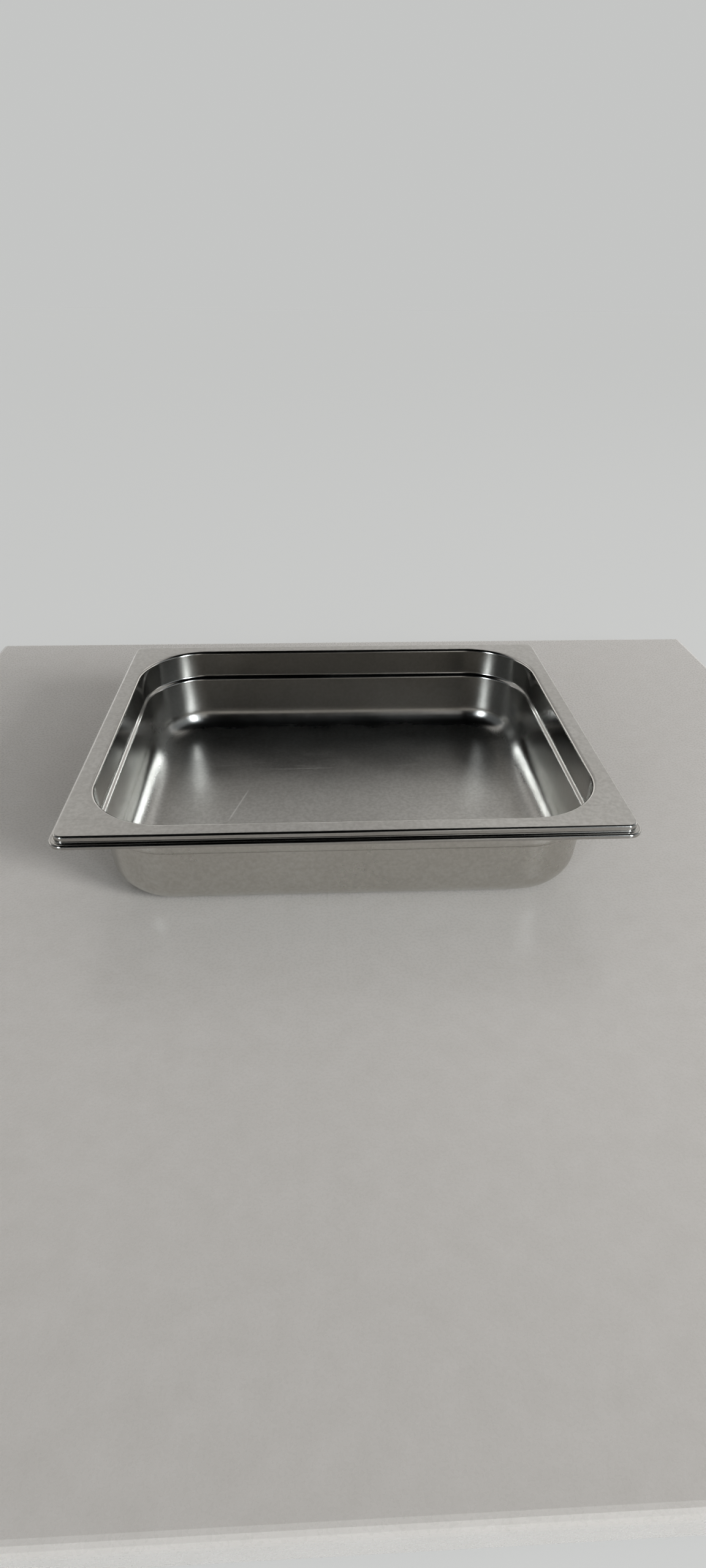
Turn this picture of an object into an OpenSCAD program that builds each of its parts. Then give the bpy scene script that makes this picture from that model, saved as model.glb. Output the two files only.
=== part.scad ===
// Rectangular deep-drawn food container with a stepped, turned-down rim.
// Origin: centre of the underside, +X along the long side, +Z up. Millimetres.

/* [Overall] */
// Length over the rim, along X
length = 325; // [250:1:400]
// Width over the rim, along Y
width = 265; // [200:1:350]
// Height from the underside of the floor to the top of the flange
height = 65; // [60:1:120]
// Thickness of the sheet
sheet = 0.7; // [0.5:0.05:0.75]

/* [Rim] */
// Radius of the flat flange's outer corners
flange_corner = 5; // [3:0.5:12]
// Radius of the bend from the flange down to the riser
riser_bend = 1.5; // [1:0.1:2]
// Straight height of the riser under the flange
riser = 2; // [1:0.1:3]
// Radius of the hollow between the riser and the ledge
hollow_bend = 0.7; // [0.5:0.1:1.5]
// Flat width of the ledge round the rim
ledge = 0.6; // [0.1:0.1:2]
// Radius of the bend from the ledge down to the lip
lip_bend = 1.4; // [0.9:0.1:2]
// Straight height of the turned-down lip
lip = 1; // [0.5:0.1:4]

/* [Opening] */
// Flat width of the flange along the two short sides
flange_side = 8.1; // [6:0.1:16]
// Flat width of the flange along the two long sides
flange_front = 7.3; // [6:0.1:16]
// Corner radius of the opening, where the flange starts to bend down
opening_corner = 48; // [40:0.5:55]
// Radius of the bend from the flange down into the basin
mouth_bend = 2.3; // [1:0.1:3]

/* [Basin] */
// Straight length of the wall between the mouth and the stacking shoulder
collar = 17; // [10:0.1:20]
// Draft of that wall from the vertical, in degrees
collar_draft = 1; // [0:0.1:3]
// Angle by which the wall turns inwards at the shoulder, in degrees
shoulder_turn = 48; // [40:1:70]
// Radius of the shoulder's two bends, on the face that shows in the basin
shoulder_bend = 2.4; // [1:0.1:3]
// Straight length of the shoulder's slope
shoulder_slope = 0.9; // [0.5:0.1:4]
// Draft of the wall under the shoulder, in degrees
draft = 4; // [0.5:0.1:5]
// Radius of the bend from the walls to the floor, on the face that shows in the basin
bottom_bend = 18.5; // [10:0.5:22]

/* [Hidden] */
$fn = 96;

UPWARDS = 90;
INWARDS = 180;
// Angle of each chord that makes up a bend
bend_step = 7.5;

// The sheet's section is walked along its shown face, and the sheet lies to the left of the walk.
// A place on the walk is [[x, z], heading]. A move is [straight run, bend radius, turn], and a
// positive turn is to the left.
function along(heading) = [cos(heading), sin(heading)];
function left_of(heading) = along(heading + 90);
function after_run(place, run) = [place[0] + run * along(place[1]), place[1]];
function after_bend(place, radius, turn) =
    let(centre = place[0] + sign(turn) * radius * left_of(place[1]))
    [centre - sign(turn) * radius * left_of(place[1] + turn), place[1] + turn];

// The places passed in one move, and in a list of moves
function places_of(place, move) =
    let(bend_start = after_run(place, move[0]), chords = ceil(abs(move[2]) / bend_step))
    [for (i = [0:chords]) after_bend(bend_start, move[1], move[2] * i / chords)];
function walk(place, moves, i = 0) =
    i == len(moves) ? []
    : let(places = places_of(place, moves[i]))
        concat(places, walk(places[len(places) - 1], moves, i + 1));

// A strip of sheet along a walk: out along the shown face and back along the hidden one
module strip(start, moves) {
    places = concat([start], walk(start, moves));
    polygon(concat(
        [for (place = places) place[0]],
        [for (i = [len(places) - 1:-1:0]) places[i][0] + sheet * left_of(places[i][1])]
    ));
}

// Sweeps a section round a rectangle of corner centres, with a quarter turn at each corner.
// The section's x is the distance outwards from those centres, and its y is the height.
module sweep(centre_x, centre_y) {
    signs = [[1, 1], [-1, 1], [-1, -1], [1, -1]];
    for (quarter = [0:3])
        translate([signs[quarter][0] * centre_x, signs[quarter][1] * centre_y, 0])
            rotate(90 * quarter) {
                rotate_extrude(angle = 90) children();
                rotate([90, 0, 0])
                    linear_extrude(2 * (quarter % 2 == 0 ? centre_y : centre_x)) children();
            }
}

// A rectangle of corner centres with a rounded margin all round
module rounded(centre_x, centre_y, margin) {
    square([2 * (centre_x + margin), 2 * centre_y], center = true);
    square([2 * centre_x, 2 * (centre_y + margin)], center = true);
    for (x = [-centre_x, centre_x], y = [-centre_y, centre_y])
        translate([x, y]) circle(margin);
}

// Corner centres of the rim and of the mouth
rim_width = lip_bend + ledge + hollow_bend + riser_bend;
rim_drop = riser_bend + riser + hollow_bend + lip_bend + lip;
rim_x = length / 2 - rim_width - flange_corner;
rim_y = width / 2 - rim_width - flange_corner;
mouth_x = length / 2 - rim_width - flange_side - opening_corner;
mouth_y = width / 2 - rim_width - flange_front - opening_corner;

// The rim, walked from the foot of the lip up to the flat flange
lip_foot = [[flange_corner + rim_width, height - rim_drop], UPWARDS];
rim_moves = [[lip, lip_bend, 90], [ledge, hollow_bend, -90], [riser, riser_bend, 90]];

// The basin, walked from the flat flange down the wall and in to the floor
mouth = [[opening_corner, height], INWARDS];
shoulder_moves = [
    [0, mouth_bend, 90 - collar_draft],
    [collar, shoulder_bend, -shoulder_turn],
    [shoulder_slope, shoulder_bend, shoulder_turn + collar_draft - draft]
];
shoulder_places = walk(mouth, shoulder_moves);
shoulder_foot = shoulder_places[len(shoulder_places) - 1];
// The wall runs down until its bottom bend can end on the floor's shown face
wall = (shoulder_foot[0][1] - sheet - bottom_bend * (1 - sin(draft))) / cos(draft);
basin_moves = concat(shoulder_moves, [[wall, bottom_bend, draft - 90]]);
floor_edge = after_bend(after_run(shoulder_foot, wall), bottom_bend, draft - 90);

module pan() {
    color([0.72, 0.71, 0.68]) {
        sweep(rim_x, rim_y) strip(lip_foot, rim_moves);
        translate([0, 0, height - sheet])
            linear_extrude(sheet)
                difference() {
                    rounded(rim_x, rim_y, flange_corner);
                    rounded(mouth_x, mouth_y, opening_corner);
                }
        sweep(mouth_x, mouth_y) strip(mouth, basin_moves);
        linear_extrude(sheet) rounded(mouth_x, mouth_y, floor_edge[0][0]);
    }
}

pan();
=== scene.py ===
import math

import bmesh
import bpy
from mathutils import Matrix, Vector, noise


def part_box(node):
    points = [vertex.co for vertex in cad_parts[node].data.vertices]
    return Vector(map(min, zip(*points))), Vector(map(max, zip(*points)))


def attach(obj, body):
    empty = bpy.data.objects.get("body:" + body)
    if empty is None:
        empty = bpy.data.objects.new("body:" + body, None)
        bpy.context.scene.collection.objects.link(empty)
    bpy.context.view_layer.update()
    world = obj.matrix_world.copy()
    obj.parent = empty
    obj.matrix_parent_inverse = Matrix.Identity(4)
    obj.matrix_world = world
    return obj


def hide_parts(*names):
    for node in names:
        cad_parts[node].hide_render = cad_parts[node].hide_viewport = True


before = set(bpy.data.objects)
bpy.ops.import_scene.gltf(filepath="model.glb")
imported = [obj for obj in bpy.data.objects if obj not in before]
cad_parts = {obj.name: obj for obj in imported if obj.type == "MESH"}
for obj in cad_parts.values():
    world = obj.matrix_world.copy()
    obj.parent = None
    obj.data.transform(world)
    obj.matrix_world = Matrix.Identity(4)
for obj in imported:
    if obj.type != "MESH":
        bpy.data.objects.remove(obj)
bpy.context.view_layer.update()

MM = 0.001

# The pan's driving sizes, in millimetres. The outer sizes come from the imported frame.
pan_low, pan_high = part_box("pan")
LENGTH, WIDTH, HEIGHT = [side / MM for side in pan_high - pan_low]
SHEET = 0.7

# Rim: a flat flange that drops over a riser to a ledge and a turned-down lip
FLANGE_CORNER = 5
RISER_BEND = 1.5
RISER = 2.0
HOLLOW_BEND = 0.7
LEDGE = 0.6
LIP_BEND = 1.4
LIP = 1.0

# Opening and basin
FLANGE_SIDE = 8.1
FLANGE_FRONT = 7.3
OPENING_CORNER = 48
MOUTH_BEND = 2.3
COLLAR = 17
COLLAR_DRAFT = 1
SHOULDER_TURN = 48
SHOULDER_BEND = 2.4
SHOULDER_SLOPE = 0.9
DRAFT = 4
BOTTOM_BEND = 18.5

# About the height at which the shoulder starts
SHOULDER_HEIGHT = HEIGHT - MOUTH_BEND - COLLAR

# Corner centres of the rim and of the mouth
RIM_WIDTH = LIP_BEND + LEDGE + HOLLOW_BEND + RISER_BEND
RIM_DROP = RISER_BEND + RISER + HOLLOW_BEND + LIP_BEND + LIP
RIM_X = LENGTH / 2 - RIM_WIDTH - FLANGE_CORNER
RIM_Y = WIDTH / 2 - RIM_WIDTH - FLANGE_CORNER
MOUTH_X = LENGTH / 2 - RIM_WIDTH - FLANGE_SIDE - OPENING_CORNER
MOUTH_Y = WIDTH / 2 - RIM_WIDTH - FLANGE_FRONT - OPENING_CORNER

# Fineness of the mesh: degrees in a bend's step, columns round the pan and rows along the section
SMALL_BEND_STEP = 9
LARGE_BEND_STEP = 4.5
CORNER_STEPS = 24
LONG_STEPS = 36
SHORT_STEPS = 24
FLANGE_ROWS = 5
COLLAR_ROWS = 5
WALL_ROWS = 8
FLOOR_ROWS = 6
# Width of the rows that keep a straight stretch flat beside a bend, in millimetres
NARROW_ROW = 0.08
# How far in from its two edges the flange's rows start and end, as a part of its width
FLANGE_MARGIN = 0.02
# How far the cut edge bulges, as a part of the sheet's thickness
CUT_EDGE_BULGE = 0.25
# Vertices nearer than this are joined, in metres
WELD_DISTANCE = 1e-6

# Unevenness of the drawn sheet, in millimetres: how far it strays, and over what length
SWELL, SWELL_LENGTH = 0.12, 70
RIPPLE, RIPPLE_LENGTH = 0.02, 22
SWAY, SWAY_LENGTH = 0.10, 45
CORNER_SWAY, CORNER_SWAY_LENGTH = 0.12, 13
# Below this height the sway fades out towards the floor
SWAY_FADE_HEIGHT = HEIGHT / 4

# The pan's material slots
INSIDE, OUTSIDE = 0, 1


# --- The section of the sheet, walked along its shown face -----------------------------------
# A place is (inset, out, height, heading). Inset runs from 0, round the rim's corner centres, to
# 1, round the mouth's. Out is the distance outwards from those centres. The sheet lies to the
# left of the heading, which is in degrees with 0 outwards and 90 upwards.

def run(places, length, rows=1):
    """Adds a straight stretch to the walk, with a narrow row at each end that keeps it flat."""
    inset, out, height, heading = places[-1]
    angle = math.radians(heading)
    inner = length - 2 * NARROW_ROW
    reaches = [NARROW_ROW + inner * row / rows for row in range(rows + 1)] + [length]
    for reach in reaches:
        place = (inset, out + reach * math.cos(angle), height + reach * math.sin(angle), heading)
        places.append(place)


def bend(places, radius, turn, step=SMALL_BEND_STEP):
    """Adds a round bend to the walk. A positive turn is to the left."""
    inset, out, height, heading = places[-1]
    side = math.copysign(1, turn)
    start = math.radians(heading)
    centre_out = out - side * radius * math.sin(start)
    centre_height = height + side * radius * math.cos(start)
    rows = math.ceil(abs(turn) / step)
    for row in range(1, rows + 1):
        now = heading + turn * row / rows
        angle = math.radians(now)
        place_out = centre_out + side * radius * math.sin(angle)
        place_height = centre_height - side * radius * math.cos(angle)
        places.append((inset, place_out, place_height, now))


def rim_places():
    """From the foot of the lip up to the flat flange."""
    places = [(0, FLANGE_CORNER + RIM_WIDTH, HEIGHT - RIM_DROP, 90)]
    run(places, LIP)
    bend(places, LIP_BEND, 90)
    run(places, LEDGE)
    bend(places, HOLLOW_BEND, -90)
    run(places, RISER)
    bend(places, RISER_BEND, 90)
    return places


def flange_places():
    """Across the flat flange, between its outer edge and the mouth."""
    places = []
    for row in range(FLANGE_ROWS + 1):
        inset = FLANGE_MARGIN + (1 - 2 * FLANGE_MARGIN) * row / FLANGE_ROWS
        out = FLANGE_CORNER + (OPENING_CORNER - FLANGE_CORNER) * inset
        places.append((inset, out, HEIGHT, 180))
    return places


def basin_places():
    """From the mouth down the wall, over the shoulder and round the bottom bend to the floor."""
    places = [(1, OPENING_CORNER, HEIGHT, 180)]
    bend(places, MOUTH_BEND, 90 - COLLAR_DRAFT)
    run(places, COLLAR, COLLAR_ROWS)
    bend(places, SHOULDER_BEND, -SHOULDER_TURN)
    run(places, SHOULDER_SLOPE)
    bend(places, SHOULDER_BEND, SHOULDER_TURN + COLLAR_DRAFT - DRAFT)
    lean = math.radians(DRAFT)
    wall = (places[-1][2] - SHEET - BOTTOM_BEND * (1 - math.sin(lean))) / math.cos(lean)
    run(places, wall, WALL_ROWS)
    bend(places, BOTTOM_BEND, DRAFT - 90, LARGE_BEND_STEP)
    return places


def floor_places(edge):
    """From the bottom bend inwards, until the corners close on the mouth's corner centres."""
    places = [(1, edge[1] - NARROW_ROW, SHEET, 180)]
    for row in range(1, FLOOR_ROWS + 1):
        places.append((1, edge[1] * (1 - row / FLOOR_ROWS), SHEET, 180))
    return places


# --- The columns round the pan ----------------------------------------------------------------
# A column is (across, along, (x, y)): how far the corner centre lies across and along, each from
# -1 to 1, and the outward direction.

def straight_columns(start, end, outward, steps):
    """Columns along one side, from a corner's centre up to but without the next one."""
    return [
        (
            start[0] + (end[0] - start[0]) * step / steps,
            start[1] + (end[1] - start[1]) * step / steps,
            outward,
        )
        for step in range(steps)
    ]


def corner_columns(corner, first_angle):
    """Columns round one corner, fanning out over a quarter turn from the first angle."""
    columns = []
    for step in range(CORNER_STEPS):
        angle = math.radians(first_angle + 90 * step / CORNER_STEPS)
        columns.append((corner[0], corner[1], (math.cos(angle), math.sin(angle))))
    return columns


def all_columns():
    """All the columns, anticlockwise from the corner at the back on the right."""
    return (
        corner_columns((1, 1), 0)
        + straight_columns((1, 1), (-1, 1), (0, 1), LONG_STEPS)
        + corner_columns((-1, 1), 90)
        + straight_columns((-1, 1), (-1, -1), (-1, 0), SHORT_STEPS)
        + corner_columns((-1, -1), 180)
        + straight_columns((-1, -1), (1, -1), (0, -1), LONG_STEPS)
        + corner_columns((1, -1), 270)
        + straight_columns((1, -1), (1, 1), (1, 0), SHORT_STEPS)
    )


def point(place, column, depth=0):
    """A point of the sheet, in metres: on its shown face, or at a depth behind it."""
    inset, out, height, heading = place
    across, along, outward = column
    angle = math.radians(heading + 90)
    out += depth * math.cos(angle)
    height += depth * math.sin(angle)
    centre_x = RIM_X + (MOUTH_X - RIM_X) * inset
    centre_y = RIM_Y + (MOUTH_Y - RIM_Y) * inset
    x = across * centre_x + out * outward[0]
    y = along * centre_y + out * outward[1]
    ideal = Vector((x, y, height))
    return (ideal + unevenness(ideal, outward)) * MM


def waves(place, length, shift):
    """Smooth noise from -1 to 1, with waves of about a length. Each shift gives other waves."""
    return noise.noise(place / length + Vector(shift))


def unevenness(place, outward):
    """How far the drawn sheet strays from its ideal shape, most at the corners of the basin."""
    swell = 0.5 + 0.5 * waves(place, SWELL_LENGTH, (0, 0, 0))
    ripple = waves(place, RIPPLE_LENGTH, (7, 3, 1))
    lift = SWELL * swell + RIPPLE * ripple
    # 0 on the sides and 1 halfway round a corner, in the part of the basin under the shoulder
    corner = abs(outward[0] * outward[1]) * 2 * (place.z < SHOULDER_HEIGHT)
    sway = SWAY * waves(place, SWAY_LENGTH, (0, 9, 4))
    sway += CORNER_SWAY * corner * waves(place, CORNER_SWAY_LENGTH, (4, 2, 6))
    sway *= min(1, place.z / SWAY_FADE_HEIGHT)
    return Vector((sway * outward[0], sway * outward[1], lift))


# --- The pan's mesh ---------------------------------------------------------------------------

def ring(mesh, place, columns, depth=0):
    """The vertices of one place, all round the pan."""
    return [mesh.verts.new(point(place, column, depth)) for column in columns]


def join_rings(mesh, first, second, material=INSIDE):
    """A closed band of faces between two rings."""
    count = len(first)
    for here in range(count):
        there = (here + 1) % count
        face = mesh.faces.new((first[here], first[there], second[there], second[here]))
        face.material_index = material


def middle_of_floor(mesh, depth, material):
    """The floor's middle: a grid between the four corner centres."""
    height = SHEET - depth
    grid = []
    for row in range(SHORT_STEPS + 1):
        along = 1 - 2 * row / SHORT_STEPS
        line = []
        for step in range(LONG_STEPS + 1):
            across = 1 - 2 * step / LONG_STEPS
            ideal = Vector((across * MOUTH_X, along * MOUTH_Y, height))
            line.append(mesh.verts.new((ideal + unevenness(ideal, (0, 0))) * MM))
        grid.append(line)
    for upper, lower in zip(grid, grid[1:]):
        for here in range(LONG_STEPS):
            face = mesh.faces.new((upper[here], upper[here + 1], lower[here + 1], lower[here]))
            face.material_index = material


def build_pan():
    """The whole container: its shown face, its hidden face and the cut edge that joins them."""
    basin = basin_places()
    places = rim_places() + flange_places() + basin + floor_places(basin[-1])
    columns = all_columns()
    mesh = bmesh.new()
    shown = [ring(mesh, place, columns) for place in places]
    hidden = [ring(mesh, place, columns, SHEET) for place in places]
    for first, second in zip(shown, shown[1:]):
        join_rings(mesh, first, second)
    for first, second in zip(hidden, hidden[1:]):
        join_rings(mesh, second, first, OUTSIDE)
    # The cut edge at the foot of the lip is slightly rounded
    inset, out, height, heading = places[0]
    edge_place = (inset, out - SHEET / 2, height - SHEET * CUT_EDGE_BULGE, heading)
    edge = ring(mesh, edge_place, columns)
    join_rings(mesh, hidden[0], edge)
    join_rings(mesh, edge, shown[0])
    middle_of_floor(mesh, 0, INSIDE)
    middle_of_floor(mesh, SHEET, OUTSIDE)
    bmesh.ops.remove_doubles(mesh, verts=mesh.verts, dist=WELD_DISTANCE)
    bmesh.ops.recalc_face_normals(mesh, faces=mesh.faces)
    data = bpy.data.meshes.new("pan_sheet")
    mesh.to_mesh(data)
    mesh.free()
    data.polygons.foreach_set("use_smooth", [True] * len(data.polygons))
    pan = bpy.data.objects.new("pan_sheet", data)
    bpy.context.collection.objects.link(pan)
    return pan


# --- Materials --------------------------------------------------------------------------------

# Zones of the steel by height in metres, each as (where it starts, where it is full)
FLOOR_ZONE = (0.006, 0.001)
FLANGE_ZONE = ((HEIGHT - 0.25) * MM, (HEIGHT - 0.05) * MM)
HAZY_ZONE = (0.047, 0.036)

# The long scratch on the pan's floor, in metres
LONG_SCRATCH_START = (-0.079, -0.025)
LONG_SCRATCH_END = (-0.067, 0.016)
LONG_SCRATCH_HALF_WIDTH = 0.0009

# Sets of short scratches, which lie along X: (turn of the set's own noise in degrees, waves to a
# metre along X). The turn only makes the sets differ.
SHORT_SCRATCHES = ((25, 24), (-50, 19), (80, 33))
# How much longer than wide a short scratch is
SCRATCH_STRETCH = 45

# Depths of the relief, in metres
GRAIN_DEPTH = 0.000004
MOTTLE_DEPTH = 0.00004
SCRATCH_DEPTH = 0.00001
BOARD_GRAIN_DEPTH = 0.000006

# What is added to the steel's roughness, and how far its clouds change it either way
FLOOR_ROUGHNESS = 0.11
FLANGE_ROUGHNESS = 0.17
SCRATCH_ROUGHNESS = 0.15
CLOUD_ROUGHNESS = 0.035

# Most values of a noise texture lie between these
NOISE_LOW, NOISE_HIGH = 0.3, 0.7

# Paler tint for the satin floor and flange: a painted brightening of them, over the satin set by
# roughness
SATIN_PAINTED_BRIGHTENING_TINT = (0.70, 0.69, 0.67, 1)
SPECKLE_TINT = (0.36, 0.35, 0.33, 1)
SCRATCH_TINT = (0.95, 0.94, 0.92, 1)
BOARD_DARK = (0.432, 0.420, 0.402, 1)
BOARD_LIGHT = (0.458, 0.446, 0.430, 1)
STAGE_FLOOR_GREY = (0.15, 0.15, 0.15, 1)
STAGE_FLOOR_GLOW = (0.385, 0.39, 0.385, 1)


class Nodes:
    """The node tree of a material or a world, with short calls for making and joining nodes."""

    def __init__(self, owner):
        self.owner = owner
        owner.use_nodes = True
        self.tree = owner.node_tree
        self.tree.nodes.clear()

    def feed(self, socket, value):
        """Joins another node's output to an input, or sets the input to a constant."""
        if isinstance(value, bpy.types.NodeSocket):
            self.tree.links.new(value, socket)
        else:
            socket.default_value = value

    def add(self, kind, inputs=None, **settings):
        node = self.tree.nodes.new(kind)
        for name, value in settings.items():
            setattr(node, name, value)
        for name, value in (inputs or {}).items():
            self.feed(node.inputs[name], value)
        return node

    def noise(self, vector, scale, detail=3, roughness=0.5, distortion=0):
        node = self.add("ShaderNodeTexNoise", {
            "Vector": vector, "Scale": scale, "Detail": detail,
            "Roughness": roughness, "Distortion": distortion,
        })
        return node.outputs["Fac"]

    def stretched(self, vector, scale, turn=0):
        """Scales a texture's space along each axis, and then turns it about Z, in degrees."""
        node = self.add("ShaderNodeMapping", {
            "Vector": vector, "Rotation": (0, 0, math.radians(turn)), "Scale": scale,
        })
        return node.outputs["Vector"]

    def remap(self, value, low, high, to_low, to_high, shape="LINEAR"):
        """Carries the range from low to high over to another one, and stops at its ends."""
        node = self.add("ShaderNodeMapRange", {
            "Value": value, "From Min": low, "From Max": high, "To Min": to_low, "To Max": to_high,
        }, interpolation_type=shape)
        return node.outputs["Result"]

    def math(self, operation, first, second=0.0):
        node = self.add("ShaderNodeMath", {0: first, 1: second}, operation=operation)
        return node.outputs["Value"]

    def dot(self, first, second):
        node = self.add("ShaderNodeVectorMath", {0: first, 1: second}, operation="DOT_PRODUCT")
        return node.outputs["Value"]

    def scratches(self, vector):
        """Fine straight scratches along X, where a drawn-out noise is at its highest."""
        total = 0.0
        for turn, density in SHORT_SCRATCHES:
            across = density * SCRATCH_STRETCH
            turned = self.stretched(vector, (density, across, across), turn)
            line = self.remap(self.noise(turned, 1, detail=1), 0.70, 0.74, 0, 1)
            total = self.math("MAXIMUM", total, line)
        return total

    def stroke(self, vector, start, end, half_width):
        """One straight stroke across the XY plane, fading towards its sides and its two ends."""
        reach = Vector(end) - Vector(start)
        middle = (Vector(start) + Vector(end)) / 2
        ahead = reach.normalized()
        offset = self.add("ShaderNodeVectorMath", {0: vector, 1: (*middle, 0)},
                          operation="SUBTRACT").outputs["Vector"]
        lengthwise = self.math("ABSOLUTE", self.dot(offset, (ahead.x, ahead.y, 0)))
        sideways = self.math("ABSOLUTE", self.dot(offset, (-ahead.y, ahead.x, 0)))
        half = reach.length / 2
        return self.math("MULTIPLY", self.remap(lengthwise, 0.7 * half, half, 1, 0),
                         self.remap(sideways, 0, half_width, 1, 0))

    def mix_colour(self, factor, first, second):
        node = self.add("ShaderNodeMix", data_type="RGBA")
        # The mix node names its inputs alike for every kind of data, so colours go by number
        first_colour, second_colour, mixed_colour = node.inputs[6], node.inputs[7], node.outputs[2]
        self.feed(node.inputs["Factor"], factor)
        self.feed(first_colour, first)
        self.feed(second_colour, second)
        return mixed_colour

    def bump(self, height, distance, normal=None):
        inputs = {"Height": height, "Distance": distance, "Strength": 1.0}
        if normal is not None:
            inputs["Normal"] = normal
        return self.add("ShaderNodeBump", inputs).outputs["Normal"]

    def finish(self, shader):
        """Joins the shader to the material's output."""
        output = self.add("ShaderNodeOutputMaterial")
        self.tree.links.new(shader, output.inputs["Surface"])
        return self.owner


def steel(name, clean, smudged, sheen, haze):
    """Drawn stainless steel: satin on the floor and flange, hazy under the shoulder.

    Sheen is the roughness of the clean walls, and haze is what the hazy zone adds to it.
    """
    nodes = Nodes(bpy.data.materials.new(name))
    place = nodes.add("ShaderNodeTexCoord").outputs["Object"]
    height = nodes.add("ShaderNodeSeparateXYZ", {"Vector": place}).outputs["Z"]
    on_floor = nodes.remap(height, *FLOOR_ZONE, 0, 1)
    on_flange = nodes.remap(height, *FLANGE_ZONE, 0, 1)
    under_shoulder = nodes.remap(height, *HAZY_ZONE, 0, 1)
    satin = nodes.math("MAXIMUM", on_floor, on_flange)

    grain = nodes.noise(nodes.stretched(place, (60, 2600, 2600)), 1, detail=2)
    cloud = nodes.noise(place, 28, detail=4, roughness=0.6)
    smudge = nodes.noise(place, 11, detail=5, roughness=0.65, distortion=0.6)
    mottle = nodes.noise(place, 420, detail=2, roughness=0.6)
    scratch = nodes.math("MULTIPLY", satin, nodes.scratches(place))
    long_scratch = nodes.math("MULTIPLY", on_floor, nodes.stroke(
        place, LONG_SCRATCH_START, LONG_SCRATCH_END, LONG_SCRATCH_HALF_WIDTH))

    tint = nodes.remap(smudge, 0.35, 0.75, 0, 1)
    colour = nodes.mix_colour(tint, clean, smudged)
    # The satin floor and flange are painted paler, as a painted brightening
    colour = nodes.mix_colour(nodes.math("MULTIPLY", satin, 0.30), colour, SATIN_PAINTED_BRIGHTENING_TINT)
    speckle = nodes.math("MULTIPLY", nodes.remap(mottle, 0.35, 0.65, 0, 1),
                         nodes.remap(satin, 0, 1, 0.25, 0.4))
    colour = nodes.mix_colour(speckle, colour, SPECKLE_TINT)
    colour = nodes.mix_colour(nodes.math("MULTIPLY", long_scratch, 0.5), colour, SCRATCH_TINT)

    rough = nodes.remap(cloud, NOISE_LOW, NOISE_HIGH, sheen - CLOUD_ROUGHNESS,
                        sheen + CLOUD_ROUGHNESS)
    grain_roughness = nodes.remap(grain, NOISE_LOW, NOISE_HIGH, -0.02, 0.02)
    for zone, added in (
        (under_shoulder, haze),
        (on_floor, FLOOR_ROUGHNESS),
        (on_flange, FLANGE_ROUGHNESS),
        (satin, grain_roughness),
        (scratch, SCRATCH_ROUGHNESS),
    ):
        rough = nodes.math("ADD", rough, nodes.math("MULTIPLY", zone, added))
    rough = nodes.math("ADD", rough, nodes.remap(smudge, 0.5, 0.75, 0, 0.05))

    normal = nodes.bump(nodes.math("MULTIPLY", satin, grain), GRAIN_DEPTH)
    normal = nodes.bump(nodes.math("MULTIPLY", satin, mottle), MOTTLE_DEPTH, normal)
    normal = nodes.bump(scratch, SCRATCH_DEPTH, normal)
    shader = nodes.add("ShaderNodeBsdfPrincipled", {
        "Base Color": colour, "Roughness": rough, "Normal": normal, "Metallic": 1.0,
    })
    return nodes.finish(shader.outputs["BSDF"])


def painted_board():
    """The pale grey, slightly glossy board that the pan stands on."""
    nodes = Nodes(bpy.data.materials.new("pale_board"))
    place = nodes.add("ShaderNodeTexCoord").outputs["Object"]
    fine = nodes.noise(place, 600, detail=2)
    cloud = nodes.noise(place, 70, detail=5, roughness=0.7)
    cloud = nodes.remap(cloud, NOISE_LOW, NOISE_HIGH, 0, 1)
    colour = nodes.mix_colour(cloud, BOARD_DARK, BOARD_LIGHT)
    shader = nodes.add("ShaderNodeBsdfPrincipled", {
        "Base Color": colour,
        "Roughness": nodes.remap(fine, NOISE_LOW, NOISE_HIGH, 0.24, 0.32),
        "Normal": nodes.bump(fine, BOARD_GRAIN_DEPTH),
    })
    return nodes.finish(shader.outputs["BSDF"])


def pale_floor():
    """The matt floor round the board. It glows, so that it is about as pale as the backdrop."""
    nodes = Nodes(bpy.data.materials.new("pale_floor"))
    shader = nodes.add("ShaderNodeBsdfPrincipled", {
        "Base Color": STAGE_FLOOR_GREY, "Roughness": 0.9, "Specular IOR Level": 0.1,
        "Emission Color": STAGE_FLOOR_GLOW, "Emission Strength": 1.0,
    })
    return nodes.finish(shader.outputs["BSDF"])


# --- Stage, light and camera ------------------------------------------------------------------

# The board and the floor, in metres
BOARD_SIDE = 0.698
BOARD_THICKNESS = 0.020
BOARD_EDGE = 0.004
BOARD_MIDDLE = (0.016, -0.050)
BOARD_GAP = 0.0005
STAGE_FLOOR_REACH = 12
STAGE_FLOOR_HEIGHT = -BOARD_THICKNESS - BOARD_GAP

# The light, in metres and watts
LIGHT_PLACE = (2.31, -1.62, 1.03)
LIGHT_SIZE = (0.8, 1.0)
LIGHT_POWER = 84

# The camera: a wide lens above and in front of the pan, in metres, degrees and millimetres
CAMERA_PLACE = (-0.016, -0.481, 0.3164)
CAMERA_TIP = 32.17
CAMERA_ROLL = 0.51
CAMERA_YAW = -2.86
LENS = 18.38
SENSOR = 36


def board():
    """A square board with rounded edges under the pan."""
    place = Matrix.Translation((*BOARD_MIDDLE, -BOARD_THICKNESS / 2))
    size = Matrix.Diagonal((BOARD_SIDE, BOARD_SIDE, BOARD_THICKNESS, 1))
    mesh = bmesh.new()
    bmesh.ops.create_cube(mesh, size=1, matrix=place @ size)
    bmesh.ops.bevel(mesh, geom=mesh.edges, offset=BOARD_EDGE, segments=4, profile=0.5,
                    affect="EDGES")
    data = bpy.data.meshes.new("board")
    mesh.to_mesh(data)
    mesh.free()
    data.materials.append(painted_board())
    item = bpy.data.objects.new("board", data)
    bpy.context.collection.objects.link(item)


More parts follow.
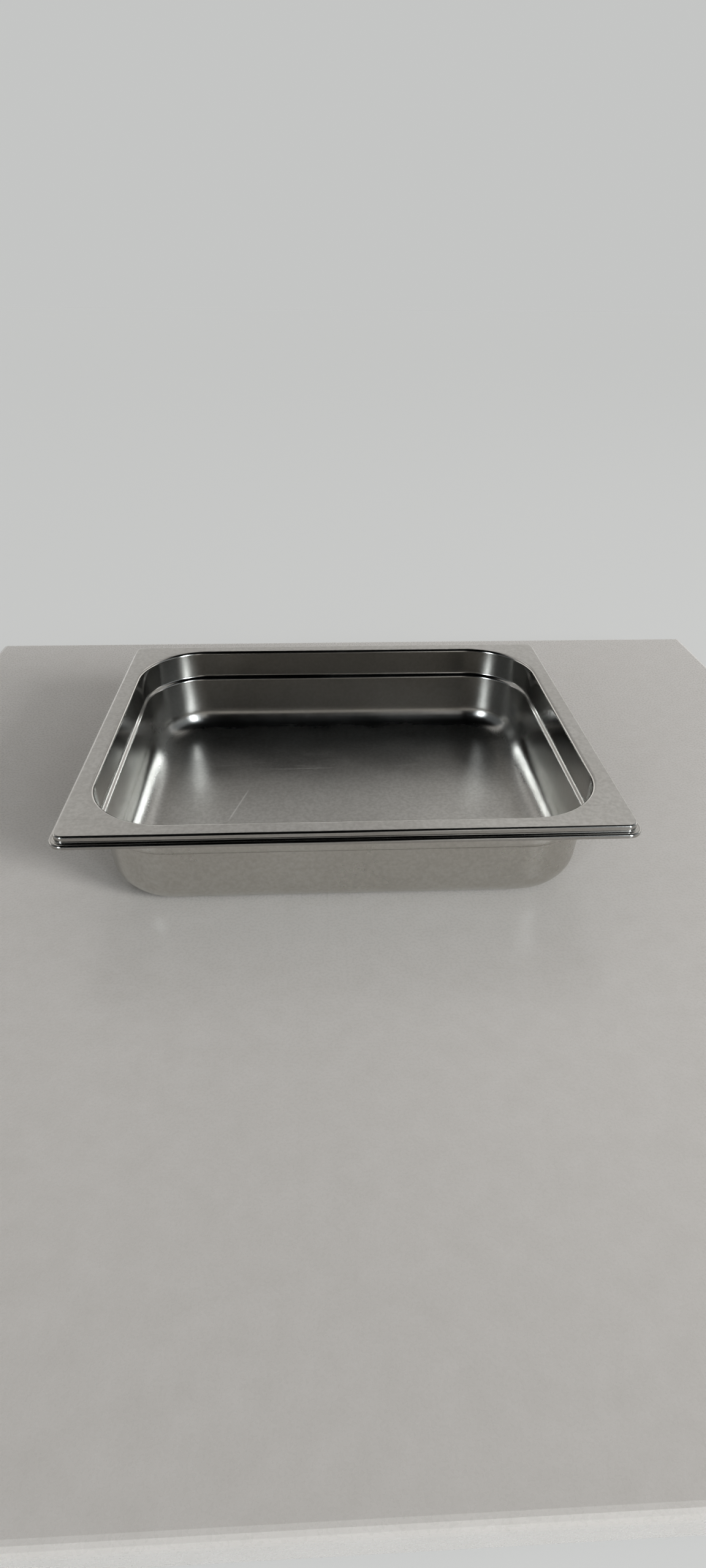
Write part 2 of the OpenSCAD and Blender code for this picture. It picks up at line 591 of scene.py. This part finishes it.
def floor():
    """A wide pale floor under the board."""
    data = bpy.data.meshes.new("floor")
    signs = ((-1, -1), (1, -1), (1, 1), (-1, 1))
    corners = [
        (x * STAGE_FLOOR_REACH, y * STAGE_FLOOR_REACH, STAGE_FLOOR_HEIGHT) for x, y in signs
    ]
    data.from_pydata(corners, [], [(0, 1, 2, 3)])
    data.materials.append(pale_floor())
    item = bpy.data.objects.new("floor", data)
    bpy.context.collection.objects.link(item)


def window_light():
    """Light from the front right, aimed at the pan. The steel mirrors the room's windows, not it."""
    data = bpy.data.lights.new("low_window", "AREA")
    data.shape = "RECTANGLE"
    data.size, data.size_y = LIGHT_SIZE
    data.energy = LIGHT_POWER
    item = bpy.data.objects.new("low_window", data)
    item.location = LIGHT_PLACE
    item.rotation_euler = (-item.location).to_track_quat("-Z", "Y").to_euler()
    item.visible_camera = False
    item.visible_glossy = False
    bpy.context.collection.objects.link(item)


# What the camera sees past the floor, and what lights matt surfaces
BACKDROP = (0.485, 0.49, 0.485, 1)
AMBIENT = (0.385, 0.373, 0.36, 1)
WARM = (1.0, 0.90, 0.80)
NEUTRAL = (1.0, 0.99, 0.97)
COOL = (0.88, 0.95, 1.0)

# What the steel mirrors: (name, azimuth, half width, lowest, highest, softness, brightness,
# colour), with the angles in degrees. Azimuth is 0 behind the camera, positive to the right and
# 180 beyond the pan. Patches that overlap add up.
ROOM = (
    ("lower white wall", 180, 85, -20, 16, 6, 1.15, NEUTRAL),
    ("upper white wall", 180, 85, 16, 64, 6, 0.42, NEUTRAL),
    ("glow on the right of the wall", 150, 20, 33, 58, 6, 0.44, NEUTRAL),
    ("glow on the left of the wall", -150, 12, 33, 58, 6, 0.46, NEUTRAL),
    ("dim room on the left", -45, 50, -30, 20, 8, 0.02, WARM),
    ("brighter room on the right", 50, 45, -30, 20, 8, 0.06, WARM),
    ("low gap on the left", -4, 9, 1, 14, 3, 0.08, NEUTRAL),
    ("low bright gap on the right", 12, 5, 1, 14, 3, 0.8, NEUTRAL),
    ("light round the left window", -40, 9, -5, 30, 4, 0.5, COOL),
    ("light round the right window", 33, 10, -5, 44, 4, 0.9, COOL),
    ("dim light right of the middle", 13, 6, 14, 30, 4, 0.40, NEUTRAL),
    ("room far to the right", 80, 25, 5, 40, 8, 0.30, COOL),
    ("room far to the left", -80, 25, 5, 40, 8, 0.15, COOL),
    ("left window", -38, 4, -5, 30, 2, 10.0, COOL),
    ("right window", 37, 4, -5, 37, 2, 10.0, COOL),
)


def room():
    """World light: the steel mirrors a white wall, a dim room and two windows."""
    nodes = Nodes(bpy.data.worlds.new("room"))
    bpy.context.scene.world = nodes.owner
    direction = nodes.add("ShaderNodeTexCoord").outputs["Generated"]
    axes = nodes.add("ShaderNodeSeparateXYZ", {"Vector": direction}).outputs
    elevation = nodes.math("ARCSINE", axes["Z"])

    def azimuth_from(middle):
        """The azimuth of what is mirrored, measured from a patch's middle."""
        angle = math.radians(middle)
        across = nodes.dot(direction, (math.cos(angle), math.sin(angle), 0))
        towards = nodes.dot(direction, (math.sin(angle), -math.cos(angle), 0))
        return nodes.math("ARCTAN2", across, towards)

    def within(angle, low, high, softness):
        """1 between two angles and 0 outside them, with soft ends."""
        low, high, softness = math.radians(low), math.radians(high), math.radians(softness)
        rise = nodes.remap(angle, low - softness, low + softness, 0, 1, "SMOOTHSTEP")
        fall = nodes.remap(angle, high - softness, high + softness, 1, 0, "SMOOTHSTEP")
        return nodes.math("MULTIPLY", rise, fall)

    light = (0, 0, 0)
    for name, middle, half, low, high, softness, brightness, colour in ROOM:
        mask = nodes.math("MULTIPLY", within(azimuth_from(middle), -half, half, softness),
                          within(elevation, low, high, softness))
        patch = nodes.add("ShaderNodeVectorMath", {
            0: colour, "Scale": nodes.math("MULTIPLY", mask, brightness),
        }, operation="SCALE", label=name)
        total = nodes.add("ShaderNodeVectorMath", {0: light, 1: patch.outputs["Vector"]},
                          operation="ADD")
        light = total.outputs["Vector"]
    ray = nodes.add("ShaderNodeLightPath").outputs
    light = nodes.mix_colour(ray["Is Diffuse Ray"], light, AMBIENT)
    light = nodes.mix_colour(ray["Is Camera Ray"], light, BACKDROP)
    background = nodes.add("ShaderNodeBackground", {"Color": light})
    output = nodes.add("ShaderNodeOutputWorld")
    nodes.tree.links.new(background.outputs[0], output.inputs["Surface"])


def camera():
    """The camera looks along +Y and down, turned by its yaw and then rolled."""
    tip, roll, yaw = [math.radians(angle) for angle in (CAMERA_TIP, CAMERA_ROLL, CAMERA_YAW)]
    ahead = Vector((-math.sin(yaw) * math.cos(tip), math.cos(yaw) * math.cos(tip), -math.sin(tip)))
    level = Vector((math.cos(yaw), math.sin(yaw), 0))
    up = level.cross(ahead)
    right = level * math.cos(roll) + up * math.sin(roll)
    up = up * math.cos(roll) - level * math.sin(roll)
    data = bpy.data.cameras.new("camera")
    data.lens = LENS
    data.sensor_width = SENSOR
    data.clip_start = 0.01
    item = bpy.data.objects.new("camera", data)
    turn = Matrix((right, up, -ahead)).transposed().to_4x4()
    item.matrix_world = Matrix.Translation(CAMERA_PLACE) @ turn
    bpy.context.collection.objects.link(item)
    bpy.context.scene.camera = item


bpy.context.scene.view_settings.view_transform = "Standard"
bpy.context.scene.view_settings.look = "Medium High Contrast"
camera()
pan = build_pan()
# In the order of the slots INSIDE and OUTSIDE
for material in (
    steel("steel_inside", (0.53, 0.52, 0.50, 1), (0.46, 0.445, 0.42, 1), sheen=0.14, haze=0.08),
    # The outside's colours are painted paler and warmer than the inside's: painted light on the same
    # steel
    steel("steel_outside_painted_paler", (0.68, 0.665, 0.63, 1), (0.60, 0.58, 0.54, 1), sheen=0.24, haze=0.0),
):
    pan.data.materials.append(material)
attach(pan, "root")
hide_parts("pan")
board()
floor()
window_light()
room()
